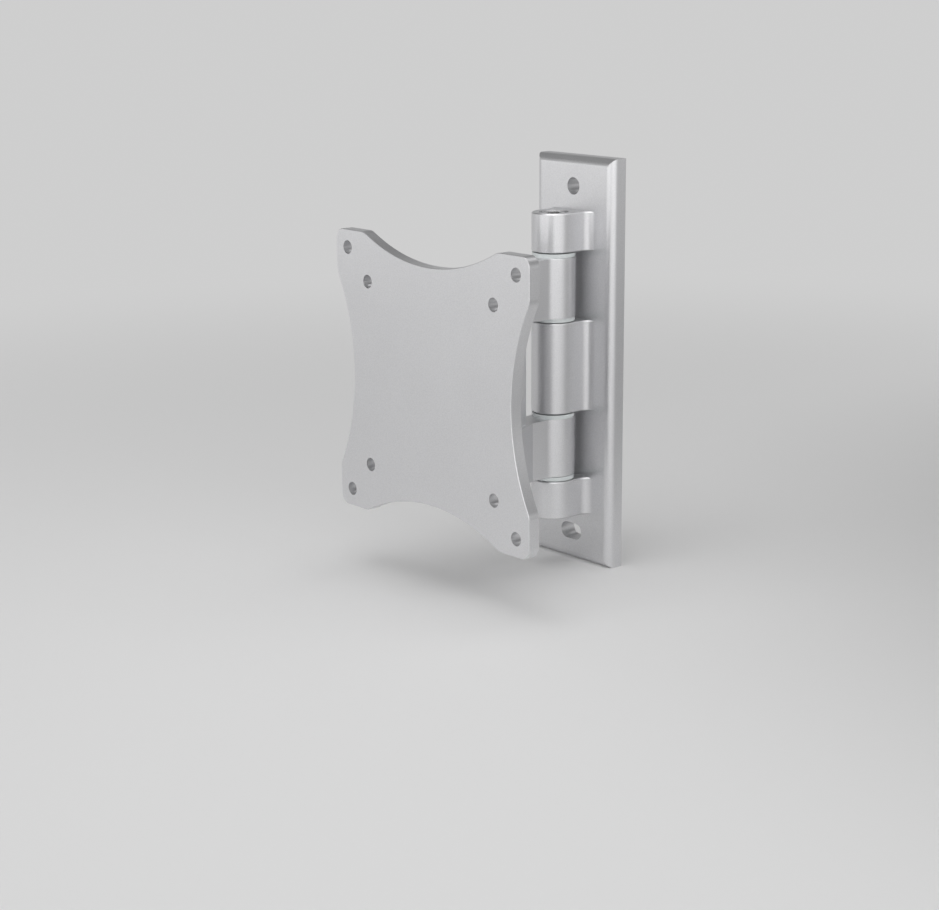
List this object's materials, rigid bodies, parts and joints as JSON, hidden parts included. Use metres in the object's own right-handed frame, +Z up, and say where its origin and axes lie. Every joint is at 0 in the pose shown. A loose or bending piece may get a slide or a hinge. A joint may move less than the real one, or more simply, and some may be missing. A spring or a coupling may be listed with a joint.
{
  "type": "monitor wall mount",
  "caption": "Short swivelling and tilting wall mount for a flat monitor: upright wall plate with a knuckled hinge, forked arm and square plate with bowed-in sides for the screen's screws.",
  "frame": {"origin": "middle of the wall plate's back face, on the wall", "axes": "+X right as seen from the front, +Y into the wall, +Z up"},
  "size_m": [0.1144, 0.0845, 0.169],
  "materials": {
    "satin_silver": "fine satin silver coat",
    "bolt_steel": "zinc plated",
    "spring_steel": "blued",
    "pale_plastic": "moulded, unfilled",
    "dark_fibre": "pressed fibre"
  },
  "bodies": {
    "wall_side": {"wall_bracket": "satin_silver", "hinge_bolt": "bolt_steel", "hinge_washer": "bolt_steel", "hinge_disc_spring_upper": "spring_steel", "hinge_disc_spring_lower": "spring_steel", "hinge_nut": "bolt_steel"},
    "swivel_side": {"swivel_arm": "satin_silver", "upper_knuckle_top_bush": "pale_plastic", "upper_knuckle_bottom_bush": "pale_plastic", "lower_knuckle_top_bush": "pale_plastic", "lower_knuckle_bottom_bush": "pale_plastic", "tilt_sleeve": "pale_plastic", "tilt_friction_disc_left": "dark_fibre", "tilt_friction_disc_right": "dark_fibre"},
    "monitor_side": {"monitor_plate": "satin_silver", "tilt_bolt": "bolt_steel", "tilt_washer": "bolt_steel", "tilt_disc_spring_outer": "spring_steel", "tilt_disc_spring_inner": "spring_steel", "tilt_nut": "bolt_steel"}
  },
  "joints": [
    {"name": "swivel", "type": "hinge", "parent": "wall_side", "child": "swivel_side", "pos_m": [0, -0.0183, 0], "axis": [0, 0, 1], "range_deg": [-55, 55]},
    {"name": "tilt", "type": "hinge", "parent": "swivel_side", "child": "monitor_side", "pos_m": [0, -0.0645, 0], "axis": [1, 0, 0], "range_deg": [-20, 20]}
  ]
}
